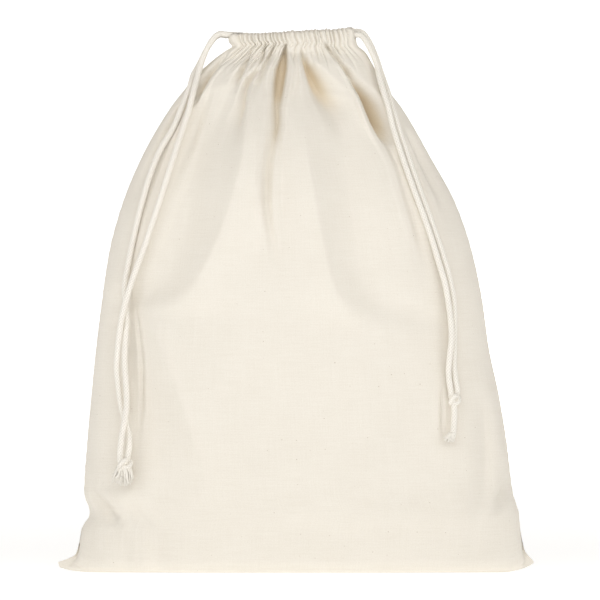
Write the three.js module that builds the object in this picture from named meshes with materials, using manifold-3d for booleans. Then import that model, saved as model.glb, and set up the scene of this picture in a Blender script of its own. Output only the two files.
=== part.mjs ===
// A cotton drawstring bag that stands on its flattened base with its neck drawn in.
// Millimetres, +Z up, the front towards -Y, the origin under the middle of the bag on the
// surface that it stands on. Two panels are sewn together at their sides and bottom, each
// with a folded hem at the top as a casing, and two cords leave the casings' ends.
import * as THREE from "three";
import { mergeVertices } from "three/addons/utils/BufferGeometryUtils.js";
import Module from "manifold-3d";

// Cloth and its seams
const CLOTH = 1.2; // one layer of canvas
const SEAM_GAP = 0.3; // clearance between the panels along their seams
const EAR_START = 0.88; // share of the half width where the bottom seam lifts to its ear

// The bottom edge, where the cloth turns from the floor into the wall
const BASE_EDGE_RADIUS = 14;
const WALL_START = 36.5;
const FLOOR_TO_WALL = 0.5; // share of the seam's sideways way to the wall that the floor takes
const EDGE_TO_WALL = 0.4; // and that the bottom edge takes

// The casing and the ruffles that its cords draw up
const RUFFLES = 22;
const COLUMNS = 2 * RUFFLES; // faces across a panel, a ridge and a valley for each ruffle
const STITCH_HEIGHT = 430;
const NECK_TILT = 0.04; // rise of the casing to the right, for each millimetre of width
const NECK_TILT_START = 405;
const LEVEL_NORMALS = { from: 380, to: 415 }; // where ruffles turn to stand out level
const UNEVEN_RUFFLES = 0.2; // share by which the ruffles' heights differ

// How a fold sets in below its top, fades towards its end and fades beside the side seams
const FOLD_SETS_IN = 0.16;
const FOLD_FADES = 0.35;
const FOLD_CLEAR_OF_SEAM = 0.5;
const SECTION_SAMPLES = 400;

// Cords
const CORD = 5;
const CORD_SIDES = 8;
const RIGHT_STEPS = 20;
const LEFT_STEPS = 24;
const TAIL_STEPS = 4;

// Sections of the bag from the floor to the mouth. left and right are the outline's reach from
// the middle, front and back the depth of each panel and square the exponent of the rounded
// section.
const SECTIONS = [
  { z: 21, left: 180.3, right: 188.5, front: 55, back: 54, square: 2.3 },
  { z: 36.5, left: 178, right: 186, front: 57, back: 56, square: 2.3 },
  { z: 49, left: 171, right: 185, front: 59, back: 58, square: 2.3 },
  { z: 66, left: 176, right: 180, front: 60, back: 59, square: 2.3 },
  { z: 106, left: 173.5, right: 175, front: 63, back: 62, square: 2.3 },
  { z: 146, left: 170, right: 168.5, front: 66, back: 65.5, square: 2.3 },
  { z: 186, left: 166, right: 160, front: 68, back: 68, square: 2.3 },
  { z: 226, left: 161, right: 154.4, front: 68, back: 68, square: 2.3 },
  { z: 266, left: 155, right: 146, front: 65, back: 63.5, square: 2.3 },
  { z: 305, left: 144.4, right: 132.8, front: 59, back: 56, square: 2.3 },
  { z: 345, left: 127.8, right: 111.2, front: 49, back: 47, square: 2.3 },
  { z: 385, left: 104.6, right: 88, front: 35, back: 34, square: 2.2 },
  { z: 405, left: 89, right: 72.5, front: 30, back: 29, square: 2.2 },
  { z: 420, left: 77, right: 63.5, front: 23, back: 23, square: 2.2 },
  { z: STITCH_HEIGHT, left: 66.5, right: 57.5, front: 16, back: 16, square: 2.2 },
  { z: 435, left: 59, right: 52.5, front: 16.5, back: 16.5, square: 2.2 },
  { z: 442, left: 56, right: 51, front: 17.5, back: 17.5, square: 2.2 },
  { z: 447.5, left: 57, right: 50, front: 16.5, back: 16.5, square: 2.2 },
  { z: 449.5, left: 56.5, right: 49.5, front: 14.5, back: 14.5, square: 2.2 },
];

// The gathered neck and its casing. open is half the space between the panels at the side seams,
// ruffle the height of the ruffles and cloth the thickness, where the casing holds a cord.
const NECK = [
  { z: 345, open: 0, ruffle: 0, cloth: CLOTH },
  { z: 385, open: 0, ruffle: 0.4, cloth: CLOTH },
  { z: 405, open: 0, ruffle: 1.2, cloth: CLOTH },
  { z: 420, open: 0.5, ruffle: 2.2, cloth: CLOTH },
  { z: STITCH_HEIGHT, open: 3, ruffle: 1.2, cloth: 2.6 },
  { z: 435, open: 4, ruffle: 2.2, cloth: 6 },
  { z: 442, open: 4, ruffle: 2.4, cloth: 7 },
  { z: 447.5, open: 4, ruffle: 2.2, cloth: 5.5 },
  { z: 449.5, open: 4, ruffle: 1.6, cloth: 2.6 },
];

// The grid's rows up the wall
const WALL_ROWS = [
  WALL_START, 49, 62, 82, 106, 134, 162, 190, 218, 244, 268, 290, 310, 328,
  345, 361, 376, 390, 402, 412, 421, STITCH_HEIGHT, 435, 442, 447.5, 449.5,
];

// The grid's rows under the bag. floor is the share of the way from the bottom seam to the
// bottom edge, turn the degrees round that edge, and left, right and height the place of the
// row's two ends on the side seams, which run out to the ears.
const BASE_ROWS = [
  { floor: 0, turn: 0, left: 197.4, right: 197.4, height: 7 },
  { floor: 0.5, turn: 0, left: 194, right: 196.2, height: 9.3 },
  { floor: 1, turn: 0, left: 190.5, right: 194.3, height: 11.8 },
  { floor: 1, turn: 45, left: 184, right: 191.3, height: 16 },
  { floor: 1, turn: 90, left: 180.3, right: 188.5, height: 22 },
];

// Folds that run down from the neck, each through a top, a middle and an end, given as x and z.
// left and right are the half widths of the trough on its two sides, spread how much wider it is
// at its end.
const FRONT_FOLDS = [
  { top: [-7, 436], mid: [-13.5, 407], end: [-17, 335], left: 6, right: 6, spread: 1.6, depth: 13 },
  { top: [5, 436], mid: [13, 412], end: [34, 365], left: 8, right: 5, spread: 2, depth: 10 },
  { top: [22, 438], mid: [39, 424], end: [58, 384], left: 3.5, right: 5, spread: 1.6, depth: 5 },
  { top: [46, 412], mid: [72, 366], end: [130, 215], left: 8, right: 11, spread: 1.5, depth: 15 },
  { top: [-56, 436], mid: [-89, 385], end: [-139, 226], left: 8, right: 6, spread: 1.7, depth: 9 },
  { top: [-37, 432], mid: [-46, 385], end: [-92, 225], left: 13, right: 8, spread: 1.8, depth: 6 },
  { top: [12, 372], mid: [22, 284], end: [62, 208], left: 15, right: 15, spread: 1.5, depth: 5 },
  { top: [-166, 66], mid: [-160, 50], end: [-146, 30], left: 7, right: 8, spread: 1.3, depth: 3 },
  { top: [137, 125], mid: [140, 80], end: [142, 36], left: 14, right: 14, spread: 1, depth: 3 },
];
const BACK_FOLDS = [
  { top: [9, 436], mid: [14, 400], end: [24, 322], left: 6, right: 7, spread: 1.8, depth: 13 },
  { top: [-28, 436], mid: [-48, 380], end: [-82, 268], left: 7, right: 10, spread: 1.7, depth: 12 },
  { top: [34, 436], mid: [60, 372], end: [102, 258], left: 9, right: 7, spread: 1.7, depth: 12 },
  { top: [-58, 432], mid: [-88, 366], end: [-134, 248], left: 7, right: 8, spread: 1.6, depth: 7 },
  { top: [-6, 345], mid: [-12, 262], end: [-20, 168], left: 18, right: 18, spread: 1.4, depth: 4 },
  { top: [72, 335], mid: [88, 250], end: [112, 158], left: 15, right: 15, spread: 1.4, depth: 4 },
];

// The cords' routes from the casing's end to the knot, x, y and z
const LEFT_OVER_ROUTE = [
  [-59.6, -2.9, 446.4], [-62.4, -3.8, 446.8], [-66.2, -5.2, 444.9], [-69.6, -6.6, 441],
  [-72.7, -8, 436], [-75.4, -9.4, 430], [-78.4, -11.4, 421.5], [-81, -14.6, 412.5],
  [-83.3, -19.2, 403.5], [-86.4, -24.6, 390.5], [-89.6, -28, 378], [-96.1, -35, 358],
  [-102.6, -40.9, 337], [-109.6, -44.5, 315], [-117.6, -47.2, 290], [-125.6, -47.6, 266],
  [-133.1, -48, 246], [-138.1, -49.2, 230], [-142.2, -49.2, 214], [-144.6, -47.5, 200],
  [-146.2, -46.5, 186], [-147.1, -45.5, 171], [-145.6, -45.5, 155], [-143.6, -46, 141],
  [-140.2, -47.5, 127], [-137, -48.5, 116], [-136.7, -49.5, 106], [-138, -50.5, 97],
];
const LEFT_UNDER_ROUTE = [
  [-59.8, 2.9, 445.6], [-62.4, 2.6, 446.2], [-66.4, 1.8, 444.3], [-70, 0.4, 440.4],
  [-73.4, -0.8, 435], [-76.8, -2.2, 428.6], [-80.6, -4.6, 420.5], [-85.2, -10.4, 411.8],
  [-88.1, -16.4, 401], [-94.1, -21.8, 385], [-101.6, -27, 367], [-111.6, -30, 350],
  [-119.6, -34, 330], [-126.6, -37.5, 306], [-132.6, -39.5, 281], [-137.6, -41.5, 256],
  [-140.4, -42.8, 238], [-139.9, -43.2, 224], [-139, -45, 208], [-139.9, -46.6, 192],
  [-140.6, -47.5, 176], [-139.4, -48.8, 160], [-138.7, -50.5, 146], [-139.1, -52.5, 135],
  [-141, -53.3, 124], [-143, -52.3, 112], [-144.2, -51, 97],
];
const RIGHT_OUTER_ROUTE = [
  [53.2, 2.9, 448.6], [56, 3.2, 447.2], [58.8, 3, 443.6], [62, 2, 438], [64.8, 0.6, 431.6],
  [67.4, -1.4, 424.6], [69.8, -4.6, 416.5], [73, -9.4, 407], [76.4, -16.2, 396.5],
  [79.8, -21.3, 384.5], [83.9, -26.3, 370.5], [89.4, -31.3, 352.5], [95.8, -35.8, 333.5],
  [102.2, -39.6, 315], [109, -43, 296.5], [115.8, -45.6, 277.5], [122, -47.4, 258.5],
  [126.6, -48, 240.5], [129.4, -48, 224], [129.8, -49, 206], [129.6, -50, 190], [129.4, -51, 173],
  [130.6, -52, 161], [132, -52, 152],
];
const RIGHT_INNER_ROUTE = [
  [53.4, -2.9, 445.4], [56, -4.2, 443.2], [58.4, -6.2, 439.2], [61.6, -8, 433.4],
  [64.4, -10, 427], [67.2, -12.2, 419.5], [68.8, -16, 411], [71.2, -20, 401.5],
  [75.8, -25.6, 386], [79.6, -30, 369], [84.6, -34.6, 352.5], [91, -38.8, 333],
  [97.6, -42.8, 314.5], [104.4, -46, 296], [111, -48.6, 277], [117, -50.6, 257],
  [121.8, -52, 240.5], [125, -52.5, 223], [126.8, -54.5, 207], [127.2, -55.6, 193],
  [125.5, -55.5, 177], [125, -54.5, 165], [126.7, -53.5, 152],
];

// Knots and the cords' ends below them
const LEFT_KNOT = { x: -141, y: -51.5, z: 91.7, width: 11, depth: 9, height: 9.6 };
const RIGHT_KNOT = { x: 129.2, y: -54, z: 145, width: 11, depth: 9.5, height: 13 };
const KNOT_WRAP = { ring: 3.6, cord: 2.1, turned: 35 };
const RIGHT_TAIL = [
  [129.5, -54.5, 138.3], [129.6, -55, 130], [129, -55.5, 122], [128.6, -55.5, 115],
];
const FRAY_HEAD = { radius: 2.6, height: 4 };
const FRAY_LOCK = { root: 1.1, tip: 0.35, inside: 1.5, across: 0.16, out: 0.3 };
const LEFT_FRAY_TOP = { x: -141, y: -51.5, z: 86.4 };
const RIGHT_FRAY_TOP = { x: 128.6, y: -55.5, z: 114.5 };
// Each lock of a frayed end, by the reach of its tip from the head's top.
const LEFT_FRAY = [
  { across: -10.5, out: -1, down: 12 }, { across: -8.5, out: -2.5, down: 13.5 },
  { across: -6, out: 0.5, down: 11 }, { across: -2.5, out: -2, down: 14 },
  { across: -0.5, out: 0.8, down: 14.5 }, { across: 1.5, out: -2.2, down: 12.5 },
  { across: 4.5, out: 0, down: 11 }, { across: 6.5, out: -2, down: 12.5 },
  { across: 8, out: 0.5, down: 11.5 },
];
const RIGHT_FRAY = [
  { across: -5, out: -0.8, down: 8.5 }, { across: -3, out: -2, down: 9.5 },
  { across: -1.5, out: 0.8, down: 8.5 }, { across: 0, out: -2, down: 10 },
  { across: 1.5, out: 0.5, down: 9 }, { across: 3, out: -1.2, down: 8.5 },
];

const clothMaterial = new THREE.MeshStandardMaterial({ color: 0xf0e8da, roughness: 0.95, metalness: 0 });
const cordMaterial = new THREE.MeshStandardMaterial({ color: 0xf1ede1, roughness: 0.9, metalness: 0 });

const bag = new THREE.Group();

function addMesh(name, geometry, material) {
  const mesh = new THREE.Mesh(geometry, material.clone());
  mesh.name = name;
  bag.add(mesh);
  return mesh;
}

function smooth(from, to, value) {
  return THREE.MathUtils.smoothstep(value, from, to);
}

// A column of a table at a height, on a smooth curve through the table's rows.
function valueAt(table, key, z) {
  const last = table.length - 1;
  const above = table.findIndex((entry) => entry.z > z);
  const row = above < 0 ? last - 1 : THREE.MathUtils.clamp(above - 1, 0, last - 1);
  const low = table[row];
  const high = table[row + 1];
  const slope = (a, b) => (b[key] - a[key]) / (b.z - a.z);
  const here = slope(low, high);
  const before = row > 0 ? slope(table[row - 1], low) : here;
  const after = row + 1 < last ? slope(high, table[row + 2]) : here;
  const span = high.z - low.z;
  const f = THREE.MathUtils.clamp((z - low.z) / span, 0, 1);
  // Where the slope changes sign the curve is level, so it never passes the table's values.
  const start = before * here > 0 ? (2 * before * here) / (before + here) : 0;
  const end = after * here > 0 ? (2 * after * here) / (after + here) : 0;
  const f2 = f * f;
  const f3 = f2 * f;
  return (
    low[key] * (2 * f3 - 3 * f2 + 1) +
    high[key] * (3 * f2 - 2 * f3) +
    span * (start * (f3 - 2 * f2 + f) + end * (f3 - f2))
  );
}

// How far the folds draw the cloth in at a place on the front or back.
function foldDepth(folds, x, z) {
  let depth = 0;
  for (const fold of folds) {
    const [topX, topZ] = fold.top;
    const [midX, midZ] = fold.mid;
    const [endX, endZ] = fold.end;
    const f = (topZ - z) / (topZ - endZ);
    if (f < 0 || f > 1) continue;
    const top = ((z - midZ) * (z - endZ)) / ((topZ - midZ) * (topZ - endZ));
    const mid = ((z - topZ) * (z - endZ)) / ((midZ - topZ) * (midZ - endZ));
    const end = ((z - topZ) * (z - midZ)) / ((endZ - topZ) * (endZ - midZ));
    const centre = topX * top + midX * mid + endX * end;
    const widen = 1 + (fold.spread - 1) * f;
    const half = (x < centre ? fold.left : fold.right) * widen;
    const across = Math.abs(x - centre) / half;
    if (across >= 1) continue;
    const along = smooth(0, FOLD_SETS_IN, f) * (1 - smooth(FOLD_FADES, 1, f));
    depth += fold.depth * along * 0.5 * (1 + Math.cos(Math.PI * across));
  }
  return depth;
}

// A point of the wall's smooth section with its folds. side is -1 for the front and 1 for the
// back, and angle runs from 0 at the right seam to pi at the left one.
function wallPoint(side, folds, angle, z) {
  const left = valueAt(SECTIONS, "left", z);
  const right = valueAt(SECTIONS, "right", z);
  const depth = valueAt(SECTIONS, side < 0 ? "front" : "back", z);
  const power = 2 / valueAt(SECTIONS, "square", z);
  const middle = (right - left) / 2;
  const half = (right + left) / 2;
  const c = Math.cos(angle);
  const s = Math.max(Math.sin(angle), 0);
  const x = middle + half * Math.sign(c) * Math.abs(c) ** power;
  const y = side * depth * s ** power;
  const normal = new THREE.Vector2(
    Math.sign(c) * Math.abs(c) ** (2 - power) / half,
    (side * s ** (2 - power)) / depth,
  ).normalize();
  const fold = foldDepth(folds, x, z) * smooth(0, FOLD_CLEAR_OF_SEAM, s);
  return {
    point: new THREE.Vector3(x - normal.x * fold, y - normal.y * fold, z),
    normal: new THREE.Vector3(normal.x, normal.y, 0),
  };
}

// One row of the wall, with its columns an even length of cloth apart.
function wallRow(side, folds, z) {
  const depth = valueAt(SECTIONS, side < 0 ? "front" : "back", z);
  const square = valueAt(SECTIONS, "square", z);
  const open = valueAt(NECK, "open", z) + SEAM_GAP / 2;
  const first = Math.asin(Math.min((open / depth) ** (square / 2), 1));
  const angles = [];
  const lengths = [0];
  for (let i = 0; i <= SECTION_SAMPLES; i++) {
    const share = i / SECTION_SAMPLES;
    const turned = first + (Math.PI - 2 * first) * share;
    angles.push(side < 0 ? Math.PI - turned : turned);
  }
  const points = angles.map((angle) => wallPoint(side, folds, angle, z).point);
  for (let i = 1; i <= SECTION_SAMPLES; i++) {
    lengths.push(lengths[i - 1] + points[i].distanceTo(points[i - 1]));
  }
  const row = [];
  let i = 0;
  for (let column = 0; column <= COLUMNS; column++) {
    const length = (lengths[SECTION_SAMPLES] * column) / COLUMNS;
    while (i < SECTION_SAMPLES - 1 && lengths[i + 1] < length) i++;
    const f = (length - lengths[i]) / (lengths[i + 1] - lengths[i]);
    row.push(wallPoint(side, folds, THREE.MathUtils.lerp(angles[i], angles[i + 1], f), z));
  }
  return row;
}

// One row of the part that lies on the floor and turns up into the wall.
function baseRow(side, base, wall) {
  const seamLeft = -BASE_ROWS[0].left;
  const seamRight = BASE_ROWS[0].right;
  const turn = THREE.MathUtils.degToRad(base.turn);
  return wall.map(({ point }, column) => {
    const share = side < 0 ? column / COLUMNS : 1 - column / COLUMNS;
    const seamX = THREE.MathUtils.lerp(seamLeft, seamRight, share);
    const depth = Math.abs(point.y);
    const radius = Math.min(BASE_EDGE_RADIUS, depth);
    const way = FLOOR_TO_WALL * base.floor + EDGE_TO_WALL * (base.turn / 90);
    const ear = smooth(EAR_START, 1, Math.abs(2 * share - 1));
    const earX = share < 0.5 ? -base.left : base.right;
    const out = base.floor * (depth - radius) + radius * Math.sin(turn);
    return new THREE.Vector3(
      THREE.MathUtils.lerp(THREE.MathUtils.lerp(seamX, point.x, way), earX, ear),
      side * Math.max(out, SEAM_GAP / 2),
      THREE.MathUtils.lerp(radius * (1 - Math.cos(turn)), base.height, ear),
    );
  });
}

// The normal of a grid at each of its points, from the points beside it.
function gridNormals(grid) {
  const rows = grid.length - 1;
  return grid.map((row, r) =>
    row.map((_, c) => {
      const across = row[Math.min(c + 1, COLUMNS)].clone().sub(row[Math.max(c - 1, 0)]);
      const up = grid[Math.min(r + 1, rows)][c].clone().sub(grid[Math.max(r - 1, 0)][c]);
      return across.cross(up).normalize();
    }),
  );
}

// A closed sheet between an outer and an inner grid of the same rows and columns.
function sheetGeometry(outer, inner) {
  const rows = outer.length;
  const width = COLUMNS + 1;
  const positions = [...outer.flat(), ...inner.flat()].flatMap((p) => [p.x, p.y, p.z]);
  const indices = [];
  const outerAt = (r, c) => r * width + c;
  const innerAt = (r, c) => rows * width + r * width + c;
  const quad = (a, b, c, d) => indices.push(a, b, c, a, c, d);
  for (let r = 0; r < rows - 1; r++) {
    for (let c = 0; c < COLUMNS; c++) {
      quad(outerAt(r, c), outerAt(r, c + 1), outerAt(r + 1, c + 1), outerAt(r + 1, c));
      quad(innerAt(r, c), innerAt(r + 1, c), innerAt(r + 1, c + 1), innerAt(r, c + 1));
    }
    quad(outerAt(r, 0), outerAt(r + 1, 0), innerAt(r + 1, 0), innerAt(r, 0));
    quad(outerAt(r, COLUMNS), innerAt(r, COLUMNS), innerAt(r + 1, COLUMNS), outerAt(r + 1, COLUMNS));
  }
  const top = rows - 1;
  for (let c = 0; c < COLUMNS; c++) {
    quad(outerAt(0, c), innerAt(0, c), innerAt(0, c + 1), outerAt(0, c + 1));
    quad(outerAt(top, c), outerAt(top, c + 1), innerAt(top, c + 1), innerAt(top, c));
  }
  const geometry = new THREE.BufferGeometry();
  geometry.setAttribute("position", new THREE.Float32BufferAttribute(positions, 3));
  geometry.setIndex(indices);
  geometry.computeVertexNormals();
  return geometry;
}

// Front or back panel: the mean surface, its thickness inwards and its ruffles. In the casing
// the ruffles stand out on both faces, and below the stitches the sheet follows them.
function panelGeometry(side, folds) {
  const wall = WALL_ROWS.map((z) => wallRow(side, folds, z));
  const base = BASE_ROWS.map((row) => baseRow(side, row, wall[0]));
  const mean = [...base, ...wall.map((row) => row.map(({ point }) => point.clone()))];
  const normals = gridNormals(mean);
  const outer = [];
  const inner = [];
  mean.forEach((row, r) => {
    const onWall = r - BASE_ROWS.length;
    const z = onWall < 0 ? BASE_ROWS[r].height : WALL_ROWS[onWall];
    const cloth = onWall < 0 ? CLOTH : valueAt(NECK, "cloth", z);
    const height = onWall < 0 ? 0 : valueAt(NECK, "ruffle", z);
    const open = onWall < 0 ? 0 : valueAt(NECK, "open", z);
    const share = onWall < 0 ? 1 : 0; // of the cloth's thickness, which the floor keeps clear
    const casing = z >= STITCH_HEIGHT ? 1 : -1;
    const outerRow = [];
    const innerRow = [];
    row.forEach((point, c) => {
      const normal = onWall < 0 ? normals[r][c] : wallNormal(normals[r][c], wall[onWall][c].normal, z);
      const uneven = 1 - UNEVEN_RUFFLES * (1 - Math.sin(2.7 * c + 1.3 * side));
      const ruffle = height * uneven * (c % 2 === 0 ? 1 : -1);
      const face = point.clone();
      face.y = side * Math.max(side * face.y, SEAM_GAP / 2 + share * cloth * Math.abs(normal.y));
      const out = face.clone().addScaledVector(normal, ruffle);
      const back = face.clone().addScaledVector(normal, -cloth - casing * ruffle);
      for (const p of [out, back]) {
        p.y = side * Math.max(side * p.y, SEAM_GAP / 2 + open);
        p.z += NECK_TILT * p.x * smooth(NECK_TILT_START, STITCH_HEIGHT, z);
      }
      outerRow.push(out);
      innerRow.push(back);
    });
    outer.push(outerRow);
    inner.push(innerRow);
  });
  return sheetGeometry(outer, inner);
}

// Up the wall the grid's own normal gives way to the level one where the neck closes in.
function wallNormal(gridNormal, level, z) {
  const share = smooth(LEVEL_NORMALS.from, LEVEL_NORMALS.to, z);
  return gridNormal.clone().lerp(level, share).normalize();
}

function cordGeometry(route, steps) {
  const path = new THREE.CatmullRomCurve3(route.map((p) => new THREE.Vector3(...p)), false, "centripetal");
  const section = new THREE.Shape();
  for (let i = 0; i < CORD_SIDES; i++) {
    const angle = (2 * Math.PI * i) / CORD_SIDES;
    const point = [(CORD / 2) * Math.cos(angle), (CORD / 2) * Math.sin(angle)];
    if (i === 0) section.moveTo(...point);
    else section.lineTo(...point);
  }
  section.closePath();
  return new THREE.ExtrudeGeometry(section, { steps, extrudePath: path, curveSegments: 1 });
}

const wasm = await Module();
wasm.setup();

function solidFrom(geometry, matrix) {
  const bare = geometry.clone().applyMatrix4(matrix);
  bare.deleteAttribute("normal");
  bare.deleteAttribute("uv");
  const merged = mergeVertices(bare, 1e-4);
  return new wasm.Manifold(
    new wasm.Mesh({
      numProp: 3,
      vertProperties: new Float32Array(merged.attributes.position.array),
      triVerts: new Uint32Array(merged.index.array),
    }),
  );
}

function joined(solids) {
  const mesh = solids.reduce((whole, solid) => whole.add(solid)).getMesh();
  const geometry = new THREE.BufferGeometry();
  geometry.setAttribute("position", new THREE.BufferAttribute(new Float32Array(mesh.vertProperties), 3));
  geometry.setIndex(new THREE.BufferAttribute(new Uint32Array(mesh.triVerts), 1));
  geometry.computeVertexNormals();
  return geometry;
}

// An overhand knot: a rounded body with a turn of cord slanting over it.
function knotGeometry(knot) {
  const at = new THREE.Matrix4().makeTranslation(knot.x, knot.y, knot.z);
  const size = new THREE.Matrix4().makeScale(knot.width / 2, knot.depth / 2, knot.height / 2);
  const body = solidFrom(new THREE.SphereGeometry(1, 14, 10), at.clone().multiply(size));
  const slant = new THREE.Matrix4().makeRotationY(-THREE.MathUtils.degToRad(KNOT_WRAP.turned));
  const ring = new THREE.TorusGeometry(KNOT_WRAP.ring, KNOT_WRAP.cord, 8, 16);
  const wrap = solidFrom(ring, at.clone().multiply(slant));
  return joined([body, wrap]);
}

// A frayed end: locks that spread from a short head.
function frayGeometry(top, locks) {
  const head = new THREE.CylinderGeometry(FRAY_HEAD.radius, FRAY_HEAD.radius, FRAY_HEAD.height, 8);
  const lower = new THREE.Matrix4().makeTranslation(top.x, top.y, top.z - FRAY_HEAD.height / 2);
  const upright = new THREE.Matrix4().makeRotationX(Math.PI / 2);
  const solids = [solidFrom(head, lower.multiply(upright))];
  for (const lock of locks) {
    const root = new THREE.Vector3(
      top.x + FRAY_LOCK.across * lock.across,
      top.y + FRAY_LOCK.out * lock.out,
      top.z - FRAY_HEAD.height + FRAY_LOCK.inside,
    );
    const tip = new THREE.Vector3(top.x + lock.across, top.y + lock.out, top.z - lock.down);
    const way = tip.clone().sub(root);
    const strand = new THREE.CylinderGeometry(FRAY_LOCK.tip, FRAY_LOCK.root, way.length(), 4);
    const turned = new THREE.Quaternion().setFromUnitVectors(
      new THREE.Vector3(0, 1, 0),
      way.clone().normalize(),
    );
    const middle = root.clone().add(tip).multiplyScalar(0.5);
    const place = new THREE.Matrix4().compose(middle, turned, new THREE.Vector3(1, 1, 1));
    solids.push(solidFrom(strand, place));
  }
  return joined(solids);
}

addMesh("front_panel", panelGeometry(-1, FRONT_FOLDS), clothMaterial);
addMesh("back_panel", panelGeometry(1, BACK_FOLDS), clothMaterial);

addMesh("left_cord_over", cordGeometry(LEFT_OVER_ROUTE, LEFT_STEPS), cordMaterial);
addMesh("left_cord_under", cordGeometry(LEFT_UNDER_ROUTE, LEFT_STEPS), cordMaterial);
addMesh("right_cord_outer", cordGeometry(RIGHT_OUTER_ROUTE, RIGHT_STEPS), cordMaterial);
addMesh("right_cord_inner", cordGeometry(RIGHT_INNER_ROUTE, RIGHT_STEPS), cordMaterial);

addMesh("left_knot", knotGeometry(LEFT_KNOT), cordMaterial);
addMesh("right_knot", knotGeometry(RIGHT_KNOT), cordMaterial);
addMesh("right_tail", cordGeometry(RIGHT_TAIL, TAIL_STEPS), cordMaterial);
addMesh("left_fray", frayGeometry(LEFT_FRAY_TOP, LEFT_FRAY), cordMaterial);
addMesh("right_fray", frayGeometry(RIGHT_FRAY_TOP, RIGHT_FRAY), cordMaterial);

export default bag;
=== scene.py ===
"""A cotton drawstring bag, standing on its flattened base with its neck drawn in.

The tables of sections and folds and the cloth's own measures are in millimetres, scaled by MM.
Routes, knots, lamps and everything else are in metres.
"""
import math

import bpy
import numpy as np
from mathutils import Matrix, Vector
from mathutils.kdtree import KDTree


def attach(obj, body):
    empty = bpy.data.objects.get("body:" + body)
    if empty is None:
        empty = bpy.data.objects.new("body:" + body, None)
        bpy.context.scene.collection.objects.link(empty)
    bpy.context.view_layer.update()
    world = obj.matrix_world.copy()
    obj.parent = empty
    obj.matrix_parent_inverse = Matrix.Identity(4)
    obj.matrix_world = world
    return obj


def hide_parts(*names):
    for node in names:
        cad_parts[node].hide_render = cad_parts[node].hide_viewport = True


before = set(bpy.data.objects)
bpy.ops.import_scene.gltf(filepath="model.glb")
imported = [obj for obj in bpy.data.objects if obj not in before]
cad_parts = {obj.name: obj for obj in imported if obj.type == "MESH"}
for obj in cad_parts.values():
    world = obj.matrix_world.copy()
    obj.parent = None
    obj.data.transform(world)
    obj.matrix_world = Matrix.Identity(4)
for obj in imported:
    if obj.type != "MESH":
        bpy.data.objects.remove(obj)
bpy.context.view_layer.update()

MM = 0.001

# The photo's view: a long lens, square on, as wide as the picture at the bag's middle
VIEW_WIDTH = 0.498
VIEW_DISTANCE = 4.0
VIEW_CENTRE = (0.0033, 0.2258)
SENSOR = 36.0

# Lamps, all aimed at the bag: place, width and height, and power
LAMP_TARGET = (0.0, 0.0, 0.22)
LAMPS = {
    "soft_left": ((-2.3, -1.9, 1.15), (1.7, 1.7), 19.4),
    "soft_right": ((2.3, -1.9, 1.15), (1.7, 1.7), 17.8),
    "soft_front": ((0.0, -1.5, 1.0), (1.3, 0.8), 9.6),
    "rim_left": ((-2.3, 0.5, 0.8), (1.6, 1.6), 4.5),
    "rim_right": ((2.3, 0.5, 0.8), (1.6, 1.6), 5.5),
}

# The pale floor and the far wall that it turns up into, and how far back the glow is the wall's
STAGE_REACH = 7.0
STAGE_BEND = 1.5
STAGE_ROWS = 14
BEND_ROWS = 12
FLOOR_GLOW = 0.56
WALL_GLOW = 1.05
WALL_GLOW_AT = 3.5

# Colours between which the weave and the braid vary
CLOTH_DARK = (0.735, 0.68, 0.588, 1.0)
CLOTH_LIGHT = (0.93, 0.897, 0.825, 1.0)
FLECK = (0.32, 0.22, 0.13, 1.0)
# Painted shade: the darker, warmer colour that cloth deep in a fold is multiplied by
PAINTED_FOLD_SHADE = (0.97, 0.9, 0.78, 1.0)
# Painted shade in the braid's gaps, which is also the colour of its darkest fibres
CORD_GAP_SHADE_AND_DARK_FIBRE = (0.6, 0.555, 0.48, 1.0)
CORD_LIGHT = (0.92, 0.885, 0.815, 1.0)

# The cloth's weave. A noise has its scale across and up the cloth, detail and roughness. Levels
# are summed by their shares, and the tone is spread round the middle of its sum.
THREAD_PITCH = 0.00062
CLOTH_NOISE = {
    "weft": (38.0, 1050.0, 2.0, 0.6),
    "warp": (1050.0, 30.0, 2.0, 0.6),
    "grain": (900.0, 900.0, 3.0, 0.6),
    "mottle": (34.0, 34.0, 3.0, 0.6),
}
WARP_SHARE = 0.75
TONE = {"thread": 0.15, "grain": 0.26, "mottle": 0.1}
TONE_MIDDLE = 0.335
TONE_SPREAD = 1.7
RELIEF = {"weave": 0.35, "thread": 0.9, "grain": 0.5}

# Flecks: their scatter across and up, and the share of places with none
FLECK_SCATTER = (85.0, 115.0, 1.0)
FLECK_NONE = 0.72

# Cloth, seams and casing, which rises to the right by a share of the width. Cloth in a fold gets
# painted shade, darker and warmer, which grows between two depths.
CLOTH = 0.8
SEAM_GAP = 0.15
STITCH_HEIGHT = 430.0
CASING_TURN = 446.5
HEM_OVER_STITCHES = 0.8
NECK_TILT = 0.04
NECK_TILT_START = 405.0
FLAT_WIDTH = 400.0
PAINTED_FOLD_SHADE_DEPTHS = (4.0, 15.0)

# The bottom edge and the corners' ears, with the tuck beside each
EAR_START = 0.88
BASE_EDGE_RADIUS = 11.0
BASE_LIFT = 2.3
EAR_TUCK = 6.0
EAR_TUCK_SHARE = 0.962
EAR_TUCK_WIDTH = 0.012
WALL_START = 36.5
FLOOR_TO_WALL = 0.5
EDGE_TO_WALL = 0.4

# The fine grid of a panel, and the middle columns that give its length up the cloth
COLUMNS = 264
MIDDLE_COLUMNS = 30
SAMPLES = 900
FLOOR_ROWS = 12
EDGE_ROWS = 9
LOW_WALL_ROWS = 66
NECK_START = 345
NECK_ROWS = 46
CASING_ROWS = 16
TURN_ROWS = 7
HEM_ROWS = 13

# Ruffles: their number, how wide and blunt they are, how far over its own lowest height each
# starts and is whole, and the share of the width in which they fade at a seam
RUFFLES = 28
END_LOBES = (3.4, 2.6)
RUFFLE_BLUNTNESS = 0.66
RUFFLE_FADE = (-6, 20)
RUFFLE_END = 0.06

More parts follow.
